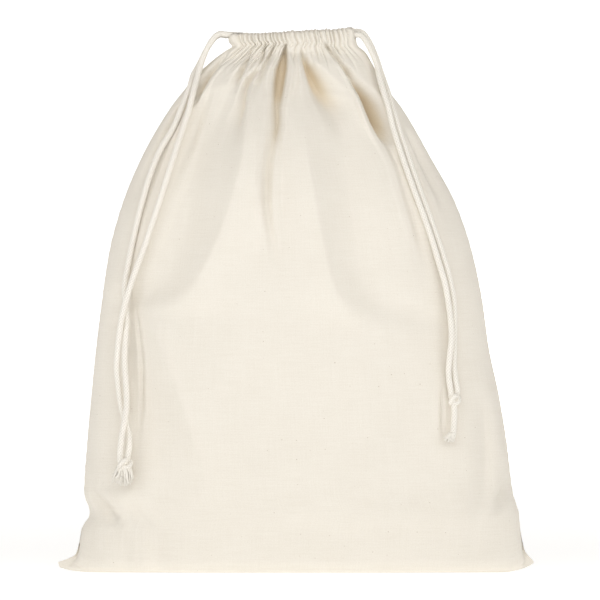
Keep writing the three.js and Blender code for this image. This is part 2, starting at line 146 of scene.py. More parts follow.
# The mouth's edge is lower in the valleys, dips left of the middle and rises at the right.
TOP_EDGE = (438, 449)
VALLEY_DIP = 1.1
MOUTH_DIP = {"x": -26, "width": 20, "depth": 0.9}
MOUTH_RISE = (28, 44)

# The puckers beside the side seams, which fade towards the neck
PUCKER_PITCH = 8.5
PUCKER_TOP = (415, 428)

# Soft unevenness, less at the neck. It and the folds fade at a seam, by the sine of the angle.
WRINKLE_WAVES = 26
WRINKLE_HEIGHT = 0.55
WRINKLE_NECK = (395, 425)
WRINKLE_LOSS = 0.6
WRINKLE_SEAM = 0.35
FOLD_SEAM = 0.5

# The shape across a fold. A deep fold has a flatter bed and steeper sides than a soft one, and a
# side much wider than the other runs down to the crease as a slope.
SOFT_BED = 0.9
DEEPER_BED = 0.7
DEEP_FOLD = (4, 12)
SLOPE_SHARES = (1.3, 2.2)
SLOPE_CURVE = 1.6
PUFF = 0.13
MOST_SLANT = 2.0

# The shape across a crest: how softly it turns over, how its falling side flattens out, and
# where the cloth beyond has risen back, in widths of the falling side
CREST_ROUND = 0.05
FALL_CURVE = 1.5
RISEN_AT = 2.6

# The casing's stitches, in metres but for the heights between which cloth takes up their line and
# leaves it
STITCHES = 62
STITCH_LENGTH = 0.0022
STITCH_RADIUS = 0.00028
STITCH_DROP = 0.4
STITCH_TAPER = 0.96
STITCH_RINGS = 6
STITCH_SIDES = 6
PULL_BELOW = (400, 430)
PULL_ABOVE = (440, 449)

# Sections of the bag: height, reach to the left and right, depth of front and back, squareness
SECTION_COLUMNS = ("z", "left", "right", "front", "back", "square")
SECTIONS = [
    (21, 180.3, 188.5, 55, 54, 2.3), (36.5, 178, 186, 57, 56, 2.3),
    (49, 171, 185, 59, 58, 2.3), (66, 176, 180, 60, 59, 2.3),
    (106, 173.5, 175, 63, 62, 2.3), (146, 170, 168.5, 66, 65.5, 2.3),
    (186, 166, 160, 68, 68, 2.3), (226, 161, 154.4, 68, 68, 2.3),
    (266, 155, 146, 65, 63.5, 2.3), (305, 144.4, 132.8, 61.5, 56, 2.3),
    (345, 127.8, 111.2, 52.5, 47, 2.3), (385, 104.6, 88, 38.5, 34, 2.2),
    (405, 89, 72.5, 30, 29, 2.2), (420, 77, 63.5, 23, 23, 2.2),
    (430, 66.5, 57.5, 16, 16, 2.2), (435, 59.5, 52.5, 16.5, 16.5, 2.2),
    (438.5, 54.2, 51.3, 17, 17, 2.2), (442, 57, 51, 17.5, 17.5, 2.2),
    (447.5, 58, 50, 16.5, 16.5, 2.2), (449.5, 56.5, 49.5, 14.5, 14.5, 2.2),
]

# The gathered neck: height, half the opening at the side seams, ruffle height, casing thickness
NECK_COLUMNS = ("z", "open", "ruffle", "casing")
NECK = [
    (372, 0, 0, 2.6), (402, 0, 0.1, 2.6), (414, 0.2, 0.4, 2.6),
    (422, 0.8, 0.9, 2.6), (427, 2, 1.3, 2.6), (430, 3, 0.8, 2.6),
    (434, 4, 1.3, 5.6), (442, 4, 1.55, 7), (447.5, 4, 1.3, 5.5),
    (450, 4, 1.0, 4.4),
]

# How far the casing's stitches lie above their mean height, by the share of the way across
STITCH_COLUMNS = ("share", "rise")
STITCH_RISE = [
    (0, 9), (0.1, 6), (0.19, 3.6), (0.3, -1), (0.37, 2.4), (0.45, 7), (0.505, 0.4), (0.59, -1.2),
    (0.68, 2.4), (0.785, 4), (0.91, 8), (1, 9),
]

# Rows under the bag, from the seam at step 0 over the floor to its edge at 2 and round that to the
# wall at 4: the row's two ends on the side seams, which run out to the ears
BASE_COLUMNS = ("step", "left", "right", "left_height", "right_height")
BASE = [
    (0, 196.3, 197.4, 4.4, 8.4),
    (1, 197.4, 195.8, 8, 10.8),
    (2, 190, 193.4, 10.9, 13.2),
    (3, 183, 190.6, 15, 16.8),
    (4, 180.3, 188.5, 22, 22),
]

# Folds: along each one its height, place across, half width to the left and right, and depth
FOLD_COLUMNS = ("z", "x", "left", "right", "depth")
FRONT_FOLDS = {
    "centre_left": [
        (440, -8, 1.2, 1.2, 0), (436, -8.8, 2, 2, 6.5), (429, -9.8, 3.6, 3.4, 12),
        (422, -11, 5.4, 5.2, 16), (415, -12.2, 6.8, 6.2, 17.5), (406, -13.6, 6.8, 6.4, 17),
        (397, -14.6, 6, 5.8, 15), (389, -15.6, 5.4, 5.4, 11), (381, -16.4, 5.4, 5.4, 7.4),
        (367, -16.4, 5.6, 5.6, 4.4), (350, -15, 7, 7, 2.2), (318, -13.5, 9, 9, 1), (285, -10, 12, 12, 0),
    ],
    "centre_right": [
        (433, 3.4, 1.4, 1.8, 0), (428, 5, 1.9, 4.5, 6), (422, 7.4, 3, 9, 12), (416, 10, 4, 13, 16.5),
        (409, 13.4, 5.4, 17, 18), (402, 17.6, 7.5, 20, 17), (395, 22.4, 10, 21, 14),
        (386, 28, 12, 20, 9.4), (375, 33, 13, 17, 5), (362, 37, 14, 14, 1.8), (350, 39, 14, 14, 0),
    ],
    "right_slit": [
        (440, 22, 1.6, 1.6, 0), (434, 26, 2, 2, 5), (428, 31, 2.2, 2.2, 6), (421, 37, 2.4, 2.6, 6),
        (415, 41.5, 2.6, 3.2, 5), (408, 46, 3, 4, 0),
    ],
    "major_right": [
        (421, 38.5, 2, 3, 0), (415, 42.6, 2.4, 5, 5), (406, 48.4, 3, 8, 8.5), (397, 55.4, 4.4, 11, 16),
        (386, 61.6, 5.6, 14, 27), (374, 67.6, 6.4, 13, 25), (362, 73.6, 6.4, 11, 12),
        (349, 79.4, 5.6, 10, 4.4), (335, 85.2, 5.4, 9, 3.4), (318, 90, 6, 8, 3), (302, 94.6, 6, 8, 3.4),
        (284, 100, 6, 8, 3), (267, 104, 7, 8, 1.4), (250, 108, 8, 8, 0),
    ],
    "left_wedge": [
        (438, -36, 1.6, 1.6, 0), (432, -38, 2, 2, 3), (424, -41, 2.6, 2.2, 5), (416, -44.6, 4, 2.6, 7.4),
        (408, -48, 7, 3.4, 6), (396, -51.5, 10, 5, 0),
    ],
    "left_trough": [
        (420.7, -28.2, 2.6, 2.2, 0), (413.7, -33.6, 3.4, 2.6, 5), (406.7, -39, 4.5, 3, 7),
        (398.4, -41.9, 6.5, 3.4, 7.5), (385.1, -43.6, 10, 4, 8), (371.8, -46.5, 14, 5, 6.5),
        (358.6, -48.1, 18, 6, 3), (342, -49.8, 22, 8, 0),
    ],
    "left_slit": [
        (440, -17, 1.4, 1.4, 0), (436, -18.5, 1.8, 1.8, 4), (426, -23, 2.2, 2.2, 6),
        (419, -26.6, 2.8, 2.8, 6), (411, -29, 3.6, 3.2, 5), (403, -32, 4.6, 3.6, 2),
        (394, -34.5, 5, 4, 0),
    ],
    "short_slit": [
        (441, -25, 1.6, 1.6, 0), (435, -26, 2, 2, 5), (428, -27.4, 2.2, 2.2, 5.5),
        (421, -30, 2.6, 2.6, 2.5), (414, -33, 3, 3, 0),
    ],
    "left_edge": [
        (440, -50, 2, 2, 0), (428, -61, 3, 3, 3), (416, -70.5, 4.5, 3.6, 7), (405, -77.5, 5, 4, 10),
        (395, -82.5, 5.5, 4.6, 7), (380, -88, 7, 6, 2.4), (350, -97, 9, 7, 0.8), (310, -109, 10, 8, 0),
    ],
    "crease_left": [
        (90, -181, 4, 4, 0), (80, -177, 5, 5, 4), (71, -172, 6, 6, 6.4), (63, -166, 7, 7, 7),
        (55, -158, 7, 7, 6), (46, -149.5, 7, 7, 4.4), (38, -142, 7, 7, 2), (31, -135, 8, 8, 0),
    ],
    "base_left": [
        (63, -139, 7, 7, 0), (51.7, -130, 8, 7, 2.6), (40, -117.5, 9, 8, 3), (29.6, -105.4, 9, 8, 2),
        (22, -98, 9, 8, 0),
    ],
    "base_right": [
        (150, 152, 17, 10, 0), (130, 156, 19, 10, 3), (106, 158, 19, 10, 5), (80, 157, 18, 10, 4.4),
        (60, 152, 14, 11, 2), (36, 144, 11, 11, 0.6), (24, 138, 11, 11, 0),
    ],
    "left_cord_line": [
        (222, -132, 2, 2, 0), (211, -131, 2.4, 3, 2.4), (190, -129.4, 2.4, 3.4, 3.4),
        (172, -128.4, 2.4, 3.4, 3.6), (149, -129, 2.4, 3.2, 2.8), (126, -130.4, 2.4, 3, 1.2),
        (112, -131, 2.4, 3, 0),
    ],
    "right_tail_line": [
        (154, 119.6, 2, 2, 0), (143, 119.4, 2.4, 2.4, 2.2), (128, 119.4, 2.4, 2.4, 2.8),
        (120, 119.6, 2.2, 2.2, 1.4), (113, 120, 2, 2, 0),
    ],
    "crease_right": [
        (85, 180, 4, 4, 0), (78, 177, 5, 5, 4.5), (71, 173.5, 5.5, 5.5, 6.5), (64, 170, 5.5, 5.5, 5.5),
        (56, 166, 6, 6, 2.4), (48, 162, 6, 6, 0),
    ],
    "centre_ridge": [
        (338, -36, 8, 11, 0), (312, -30, 9, 12, -1.6), (275, -21, 9, 12, -1.6), (245, -14, 9, 12, 0),
    ],
    "shoulder_right": [
        (368, 90, 4, 5, 0), (355, 98, 5, 6, 4.4), (340, 106, 6, 7, 5.6), (322, 114, 6, 7, 4.4),
        (300, 123, 7, 8, 1.4), (280, 130, 7, 8, 0),
    ],
    "shoulder_left": [
        (404, -80, 4, 4, 0), (392, -89.5, 4.4, 4.6, 6), (377, -101, 4.6, 5, 9.5),
        (362, -110, 4.6, 5, 8.5), (350, -116.5, 5, 6, 5.4), (330, -126, 6, 7, 2), (300, -138, 7, 8, 0),
    ],
    "left_far": [
        (402, -71, 6, 6, 0), (386, -79, 8, 8, 3.4), (368, -86, 9, 9, 4.4), (350, -92, 9, 9, 2.4),
        (332, -98, 9, 9, 0),
    ],
    "under_left_cords": [
        (402, -84, 8, 8, 0), (382, -90, 10, 10, -2), (350, -102, 13, 13, -3.4), (318, -113, 14, 13, -3.4),
        (285, -124, 13, 12, -3), (250, -136, 10, 10, -2), (225, -140, 10, 10, 0),
    ],
    "centre_tail": [
        (386.8, -15.8, 8, 4, 0), (373.5, -14.6, 10, 4, 5), (356.9, -18.6, 8, 5, 6),
        (333.7, -23, 6, 6, 6.4), (308.8, -24, 5.4, 6, 6), (285, -21.4, 5.4, 6, 4.6),
        (252.3, -15.8, 8, 8, 0),
    ],
}

# Crests: along each one its height, place across, the width of its falling side, which is to the
# left where it is negative, the width of its gentle side, and half the drop
CREST_COLUMNS = ("z", "x", "fall", "gentle", "drop")
FRONT_CRESTS = {
    "left": [
        (404, -40, -10, 18, 0), (396, -39.6, -16, 20, 3), (381.8, -39.4, -24, 26, 5.6),
        (366.9, -39.8, -32, 32, 7.8), (350.3, -41.4, -38, 36, 9), (332, -44.8, -39, 40, 9.2),
        (312.9, -50, -37, 42, 8.4), (292.2, -56.6, -33, 44, 7.4), (271.4, -64.4, -29, 46, 6.4),
        (250.7, -74.8, -26, 46, 5), (234.9, -84, -25, 44, 3.6), (222.4, -97, -26, 40, 2),
        (214.1, -114, -28, 40, 0),
    ],
    "right": [
        (395.1, 4.8, 16, 18, 0), (381.8, 5, 28, 22, 3.2), (366.9, 5.9, 34, 26, 5),
        (346.1, 8.4, 32, 30, 6), (323.7, 12.2, 30, 32, 6.4), (298.8, 16.4, 29, 34, 6.2),
        (271.4, 21.6, 28, 36, 6), (244, 27.8, 26, 36, 5.6), (224.1, 35.4, 26, 34, 3.8),
        (209.2, 47.4, 28, 32, 1.4), (199.2, 63, 28, 32, 0),
    ],
    "low": [
        (240, -128, -14, 26, 0), (216, -118, -26, 30, 4), (186, -106, -34, 38, 7),
        (152, -94, -38, 44, 7.4), (107, -80, -38, 44, 5.6), (80, -74, -34, 38, 2.6),
        (58, -73, -26, 32, 0),
    ],
}
BACK_FOLDS = {
    "centre": [
        (440, 8, 3, 3, 0), (432, 9, 3, 3.5, 5), (418, 11, 5, 5, 12), (400, 14, 6.5, 7, 12),
        (375, 18, 8, 9, 8), (340, 23, 11, 13, 3), (300, 28, 14, 16, 0),
    ],
    "left": [
        (440, -27, 3, 3, 0), (430, -30, 3.5, 4, 5), (412, -37, 6, 7, 11), (385, -47, 8, 11, 11),
        (345, -60, 10, 15, 7), (300, -74, 12, 18, 3.4), (250, -88, 14, 20, 0),
    ],
    "right": [
        (440, 33, 3, 3, 0), (430, 37, 4, 4, 5), (410, 46, 7, 7, 11), (380, 58, 10, 9, 11),
        (340, 73, 14, 11, 7), (295, 89, 17, 12, 3.2), (240, 106, 20, 14, 0),
    ],
    "far_left": [
        (436, -55, 3, 3, 0), (418, -64, 4, 4, 4), (395, -76, 6, 7, 7), (360, -91, 9, 9, 6),
        (310, -111, 11, 11, 3.4), (245, -135, 12, 12, 0),
    ],
    "slit": [
        (438, -12, 2, 2.5, 0), (428, -13, 2.5, 3, 4.5), (414, -16, 3.5, 4, 5), (398, -20, 5, 6, 2.4),
        (380, -24, 8, 8, 0),
    ],
    "low_middle": [
        (330, -7, 16, 16, 0), (290, -10, 18, 20, 3), (240, -14, 20, 24, 3.6), (195, -24, 22, 26, 2.2),
        (165, -34, 22, 26, 0),
    ],
    "low_right": [
        (320, 74, 14, 14, 0), (270, 84, 16, 16, 3), (215, 98, 18, 18, 3.2), (160, 114, 20, 20, 0),
    ],
    "crease": [
        (96, 150, 8, 8, 0), (72, 160, 9, 9, 2.6), (48, 170, 9, 9, 2), (34, 174, 9, 9, 0),
    ],
}

# Cords and their braid, whose radius is a low share of the cord's and more on its strands
CORD_RADIUS = 0.0025
CORD_STEP = 0.0005
CORD_SIDES = 40
BRAID_CARRIERS = 6
BRAID_ANGLE = 38
BRAID_CLOSENESS = 0.86
BRAID_EDGE = 2.4
BRAID_OVER = 0.38
BRAID_LOW = 0.82
BRAID_RISE = 0.2

# How the cloth gives way under a cord: the room it leaves, and its small pushes
CORD_ROOM = 0.0004
PUSH_OVER = 0.0001
PUSHES = 4
DENT_SOFTENINGS = 3
LEFT_OVER_ROUTE = [
    (-0.042, -0.007, 0.445), (-0.048, -0.004, 0.4455), (-0.054, -0.0026, 0.446),
    (-0.0596, -0.0029, 0.4464), (-0.0624, -0.0038, 0.4468), (-0.0662, -0.0052, 0.4449),
    (-0.0696, -0.0066, 0.441), (-0.0727, -0.008, 0.436), (-0.0754, -0.0094, 0.43),
    (-0.0784, -0.0114, 0.4215), (-0.081, -0.0146, 0.4125), (-0.0833, -0.0192, 0.4035),
    (-0.0864, -0.0246, 0.3905), (-0.0896, -0.028, 0.378), (-0.0961, -0.035, 0.358),
    (-0.1026, -0.0409, 0.337), (-0.1096, -0.0445, 0.315), (-0.1176, -0.0472, 0.29),
    (-0.1256, -0.0476, 0.266), (-0.1331, -0.048, 0.246), (-0.1381, -0.0492, 0.23),
    (-0.1422, -0.0492, 0.214), (-0.1446, -0.0475, 0.2), (-0.1462, -0.0465, 0.186),
    (-0.1471, -0.0455, 0.171), (-0.1456, -0.0455, 0.155), (-0.1436, -0.046, 0.141),
    (-0.1402, -0.0475, 0.127), (-0.137, -0.0485, 0.116), (-0.1367, -0.0495, 0.106),
    (-0.138, -0.0505, 0.097), (-0.1395, -0.0512, 0.0915),
]
LEFT_UNDER_ROUTE = [
    (-0.042, 0.007, 0.4444), (-0.048, 0.004, 0.4448), (-0.054, 0.0026, 0.4452),
    (-0.0598, 0.0029, 0.4456), (-0.0624, 0.0026, 0.4462), (-0.0664, 0.0018, 0.4443),
    (-0.07, 0.0004, 0.4404), (-0.0734, -0.0008, 0.435), (-0.0768, -0.0022, 0.4286),
    (-0.0806, -0.0046, 0.4205), (-0.0852, -0.0104, 0.4118), (-0.0881, -0.0164, 0.401),
    (-0.0941, -0.0218, 0.385), (-0.1016, -0.027, 0.367), (-0.1116, -0.03, 0.35),
    (-0.1196, -0.034, 0.33), (-0.1266, -0.0375, 0.306), (-0.1326, -0.0395, 0.281),
    (-0.1376, -0.0415, 0.256), (-0.1404, -0.0428, 0.238), (-0.1399, -0.0432, 0.224),
    (-0.139, -0.045, 0.208), (-0.1399, -0.0466, 0.192), (-0.1406, -0.0475, 0.176),
    (-0.1394, -0.0488, 0.16), (-0.1387, -0.0505, 0.146), (-0.1391, -0.0525, 0.135),
    (-0.141, -0.0533, 0.124), (-0.143, -0.0523, 0.112), (-0.1442, -0.051, 0.097),
    (-0.143, -0.0514, 0.0915),
]
RIGHT_OUTER_ROUTE = [
    (0.037, 0.0076, 0.4484), (0.043, 0.0044, 0.4488), (0.0485, 0.0028, 0.449),
    (0.0532, 0.0029, 0.4486), (0.056, 0.0032, 0.4472), (0.0588, 0.003, 0.4436),
    (0.062, 0.002, 0.438), (0.0648, 0.0006, 0.4316), (0.0674, -0.0014, 0.4246),
    (0.0698, -0.0046, 0.4165), (0.073, -0.0094, 0.407), (0.0764, -0.0162, 0.3965),
    (0.0798, -0.0213, 0.3845), (0.0839, -0.0263, 0.3705), (0.0894, -0.0313, 0.3525),
    (0.0958, -0.0358, 0.3335), (0.1022, -0.0396, 0.315), (0.109, -0.043, 0.2965),
    (0.1158, -0.0456, 0.2775), (0.122, -0.0474, 0.2585), (0.1266, -0.048, 0.2405),
    (0.1294, -0.048, 0.224), (0.1298, -0.049, 0.206), (0.1296, -0.05, 0.19),
    (0.1294, -0.051, 0.173), (0.1306, -0.052, 0.161), (0.132, -0.052, 0.152),
    (0.1305, -0.053, 0.1455),
]
RIGHT_INNER_ROUTE = [
    (0.037, -0.0076, 0.445), (0.043, -0.0044, 0.4454), (0.0485, -0.0028, 0.4458),
    (0.0534, -0.0029, 0.4454), (0.056, -0.0042, 0.4432), (0.0584, -0.0062, 0.4392),
    (0.0616, -0.008, 0.4334), (0.0644, -0.01, 0.427), (0.0672, -0.0122, 0.4195),
    (0.0688, -0.016, 0.411), (0.0712, -0.02, 0.4015), (0.0758, -0.0256, 0.386),
    (0.0796, -0.03, 0.369), (0.0846, -0.0346, 0.3525), (0.091, -0.0388, 0.333),
    (0.0976, -0.0428, 0.3145), (0.1044, -0.046, 0.296), (0.111, -0.0486, 0.277),
    (0.117, -0.0506, 0.257), (0.1218, -0.052, 0.2405), (0.125, -0.0525, 0.223),
    (0.1268, -0.0545, 0.207), (0.1272, -0.0556, 0.193), (0.1255, -0.0555, 0.177),
    (0.125, -0.0545, 0.165), (0.1267, -0.0535, 0.152), (0.1285, -0.0538, 0.1455),
]
RIGHT_TAIL = [
    (0.1292, -0.054, 0.145), (0.1295, -0.0545, 0.1383), (0.1296, -0.055, 0.13),
    (0.129, -0.0555, 0.122), (0.1286, -0.0555, 0.114),
]

# Knots, each a turn or two of cord round the strands, and the frayed ends below
KNOTS = {
    "left_knot": {"centre": (-0.1406, -0.0515, 0.0919), "half": (0.0052, 0.0038, 0.0032)},
    "right_knot": {"centre": (0.1296, -0.054, 0.1446), "half": (0.0039, 0.0034, 0.0033)},
}
KNOT_CORD = 0.0019
KNOT_SIDES = 32
KNOT_POINTS = 360
KNOT_START = 0.4
LEFT_FRAY = {
    "top": (-0.141, -0.0515, 0.0895), "half": (0.0054, 0.003), "spread": 0.0048, "length": 0.0178,
    "lean": -0.0006, "count": 200,
}
RIGHT_FRAY = {
    "top": (0.1282, -0.0557, 0.1172), "half": (0.0024, 0.0022), "spread": 0.003, "length": 0.0092,
    "lean": -0.0026, "count": 70,
}
FIBRE_JOINTS = 6
FIBRE_SIDES = 4
FIBRE_SHADE = 1.1

# Cords: the solid that each stands for, its route, its knot and where it leaves its casing
CORDS = [
    ("left_cord_over", LEFT_OVER_ROUTE, "left_knot", (-0.0575, -0.0028, 0.4463)),
    ("left_cord_under", LEFT_UNDER_ROUTE, "left_knot", (-0.0575, 0.0028, 0.4455)),
    ("right_cord_outer", RIGHT_OUTER_ROUTE, "right_knot", (0.051, 0.0029, 0.4488)),
    ("right_cord_inner", RIGHT_INNER_ROUTE, "right_knot", (0.051, -0.0029, 0.4456)),
]


def smooth(start, end, value):
    """A smooth step from 0 at start to 1 at end."""
    t = np.clip((value - start) / (end - start), 0.0, 1.0)
    return t * t * (3 - 2 * t)


def cubic_shares(f):
    """What a cubic's start, end, first slope and last slope count for, a share f of its way."""
    return 2 * f**3 - 3 * f**2 + 1, 3 * f**2 - 2 * f**3, f**3 - 2 * f**2 + f, f**3 - f**2


def table_value(columns, rows, key, at):
    """A column of a table at each place of its first column, on a curve that never overshoots."""
    table = np.array(sorted(rows), float)
    xs = table[:, 0]
    ys = table[:, columns.index(key)]
    slope = np.diff(ys) / np.diff(xs)
    tangent = np.zeros(len(xs))
    for i in range(1, len(xs) - 1):
        if slope[i - 1] * slope[i] > 0:
            tangent[i] = 2 * slope[i - 1] * slope[i] / (slope[i - 1] + slope[i])
    tangent[0] = slope[0]
    tangent[-1] = slope[-1]
    place = np.clip(at, xs[0], xs[-1])
    i = np.clip(np.searchsorted(xs, place, side="right") - 1, 0, len(xs) - 2)
    span = xs[i + 1] - xs[i]
    start, end, leave, arrive = cubic_shares((place - xs[i]) / span)
    return ys[i] * start + ys[i + 1] * end + span * (tangent[i] * leave + tangent[i + 1] * arrive)


def section(key, z):
    """A measure of the bag's section or of its neck at each height."""
    if key in NECK_COLUMNS:
        return table_value(NECK_COLUMNS, NECK, key, z)
    return table_value(SECTION_COLUMNS, SECTIONS, key, z)


def lengths_along(points):
    """The length of a path up to each of its points."""
    return np.concatenate([[0], np.cumsum(np.linalg.norm(np.diff(points, axis=0), axis=1))])


def places_along(wanted, length, points):
    """Places on a path at the wanted lengths, or at other measures that grow along it."""
    return np.stack([np.interp(wanted, length, points[:, axis]) for axis in range(3)], axis=-1)


def at_heights(columns, rows, x, z):
    """A fold's or crest's values in each row of a grid, the rows that it runs through, and how
    much wider it is across for its slant."""
    height = np.broadcast_to(z, x.shape)[:, 0]
    value = {key: table_value(columns, rows, key, height)[:, None] for key in columns[1:]}
    above = table_value(columns, rows, "x", height + 1)
    below = table_value(columns, rows, "x", height - 1)
    slant = (above - below)[:, None] / 2
    inside = (height <= rows[0][0]) & (height >= rows[-1][0])
    return value, inside[:, None], np.sqrt(1 + np.minimum(np.abs(slant), MOST_SLANT) ** 2)


def fold_depth(folds, x, z):
    """How far the folds draw the cloth in, with the cloth puffed out a little beside each."""
    depth = np.zeros_like(x)
    for rows in folds.values():
        value, inside, wide = at_heights(FOLD_COLUMNS, rows, x, z)
        away = x - value["x"]
        width = np.where(away < 0, value["left"], value["right"])
        other = np.where(away < 0, value["right"], value["left"])
        across = np.abs(away) / (width * wide)
        near = np.minimum(across, 1)
        bed = SOFT_BED + DEEPER_BED * smooth(*DEEP_FOLD, value["depth"])
        cupped = 0.5 * (1 + np.cos(np.pi * near**bed))
        slope = smooth(*SLOPE_SHARES, width / other)
        trough = cupped + ((1 - near) ** SLOPE_CURVE - cupped) * slope
        beside = np.where((across > 1) & (across < 2), np.sin(np.pi * (across - 1)) ** 2, 0)
        depth += inside * value["depth"] * (trough - PUFF * (1 - slope) * beside)
    return depth


def crest_height(crests, x, z):
    """How far the crests stand out: each falls steeply to one side, past the mean surface, and
    gently to the other."""
    out = np.zeros_like(x)
    for rows in crests.values():
        value, inside, wide = at_heights(CREST_COLUMNS, rows, x, z)
        along = (x - value["x"]) * np.sign(value["fall"]) / wide
        fall = np.abs(value["fall"])
        t = np.clip(along / fall, 0, 1)
        t = (1 + CREST_ROUND) * t**2 / (t + CREST_ROUND)
        falling = 2 * (1 - t) ** FALL_CURVE - 1
        rising = -1 + smooth(1, RISEN_AT, along / fall)
        gentle = 1 - smooth(0, 1, -along / value["gentle"])
        shape = np.where(along < 0, gentle, np.where(along < fall, falling, rising))
        out += inside * value["drop"] * shape
    return out


def wrinkles(x, z, side):
    """Soft unevenness of the cloth, a sum of slanting waves of many lengths."""
    rng = np.random.default_rng(7 if side < 0 else 11)
    total = np.zeros(np.broadcast(x, z).shape)
    longest = 95
    for _ in range(WRINKLE_WAVES):
        length = rng.uniform(26, longest)
        heading = rng.normal(0.0, 0.55)
        wave_x = math.cos(heading) / length
        wave_z = math.sin(heading) / length
        bend = rng.uniform(0.2, 0.6)
        phase = rng.uniform(0, 2 * math.pi)
        wobble = bend * np.sin(z / rng.uniform(60, 140) + phase)
        wave = 2 * math.pi * (wave_x * x + wave_z * z) + phase + wobble
        total += length / longest * np.sin(wave)
    return total / 5


def wall_surface(side, folds, crests, angle, z):
    """Points of the wall's section with its folds, and the level normal there."""
    left = section("left", z)
    right = section("right", z)
    depth = section("front" if side < 0 else "back", z)
    power = 2 / section("square", z)
    middle = (right - left) / 2
    half = (right + left) / 2
    c = np.cos(angle)
    s = np.maximum(np.sin(angle), 0)
    x = middle + half * np.sign(c) * np.abs(c) ** power
    y = side * depth * s**power
    normal_x = np.sign(c) * np.abs(c) ** (2 - power) / half
    normal_y = side * s ** (2 - power) / depth
    size = np.hypot(normal_x, normal_y)
    normal_x = normal_x / size
    normal_y = normal_y / size
    clear_of_seam = smooth(0, FOLD_SEAM, s)
    fold = fold_depth(folds, x, z) * clear_of_seam
    ripple = WRINKLE_HEIGHT * wrinkles(x, z, side) * smooth(0, WRINKLE_SEAM, s)
    ripple = ripple * (1 - WRINKLE_LOSS * smooth(*WRINKLE_NECK, z))
    out = ripple - fold + crest_height(crests, x, z) * clear_of_seam
    return x + normal_x * out, y + normal_y * out, normal_x, normal_y, fold


def wall_grid(side, folds, crests, heights):
    """The wall's rows, with the columns an even length of cloth apart from left to right."""
    z = heights[:, None]
    depth = section("front" if side < 0 else "back", z)
    square = section("square", z)
    opening = section("open", z) + SEAM_GAP
    first = np.arcsin(np.minimum((opening / depth) ** (square / 2), 1))
    share = np.linspace(0, 1, SAMPLES)
    angle = np.pi - (first + (np.pi - 2 * first) * share)
    x, y, _, _, _ = wall_surface(side, {}, {}, angle, z)
    step = np.hypot(np.diff(x, axis=1), np.diff(y, axis=1))
    length = np.concatenate([np.zeros((len(heights), 1)), np.cumsum(step, axis=1)], axis=1)
    even = np.empty((len(heights), COLUMNS + 1))
    for row in range(len(heights)):
        wanted = np.linspace(0, length[row, -1], COLUMNS + 1)
        even[row] = np.interp(wanted, length[row], angle[row])
    return wall_surface(side, folds, crests, even, z)


def ruffle_shape(side):
    """The ruffles at each column across a panel: the column's share of the way, their height from
    a valley to a ridge, how much of a ridge it is, how low it reaches and how high it lifts."""
    rng = np.random.default_rng(3 if side < 0 else 5)
    share = np.linspace(0, 1, COLUMNS + 1)
    widths = rng.uniform(0.5, 1.5, RUFFLES)
    widths[[0, -1]] = END_LOBES
    valleys = np.concatenate([[0], np.cumsum(widths)]) / widths.sum()
    phase = np.interp(share, valleys, np.arange(RUFFLES + 1))
    ridge = np.abs(np.sin(math.pi * phase)) ** RUFFLE_BLUNTNESS
    marks = np.arange(-1, RUFFLES + 2) + 0.5

    def varied(low, high, at=marks):
        return np.interp(phase, at, rng.uniform(low, high, len(marks)))

    size = varied(0.6, 1.15)
    sunk = varied(0.3, 2.2, marks - 0.5)
    reach = varied(400, 421)
    lift = varied(-0.7, 0.7)
    ends = smooth(0.0, RUFFLE_END, share) * smooth(0.0, RUFFLE_END, 1 - share)
    height = (size * ridge - sunk * (1 - ridge)) * ends
    return share, height, ridge * ends + 1 - ends, reach, lift


def seam_pucker(share, z, side):
    """The side seams' fine groove and the puckers that its stitches draw."""
    reach = np.minimum(share, 1 - share) * FLAT_WIDTH
    drift = 1.3 * np.sin(z / 23)
    height = 0.6 + 0.4 * np.sin(z / 31 + side)
    wave = np.sin(2 * math.pi * z / PUCKER_PITCH + drift) * height
    groove = 0.7 * np.exp(-((reach / 1.6) ** 2))
    return 0.4 * wave * np.exp(-reach / 5) - groove


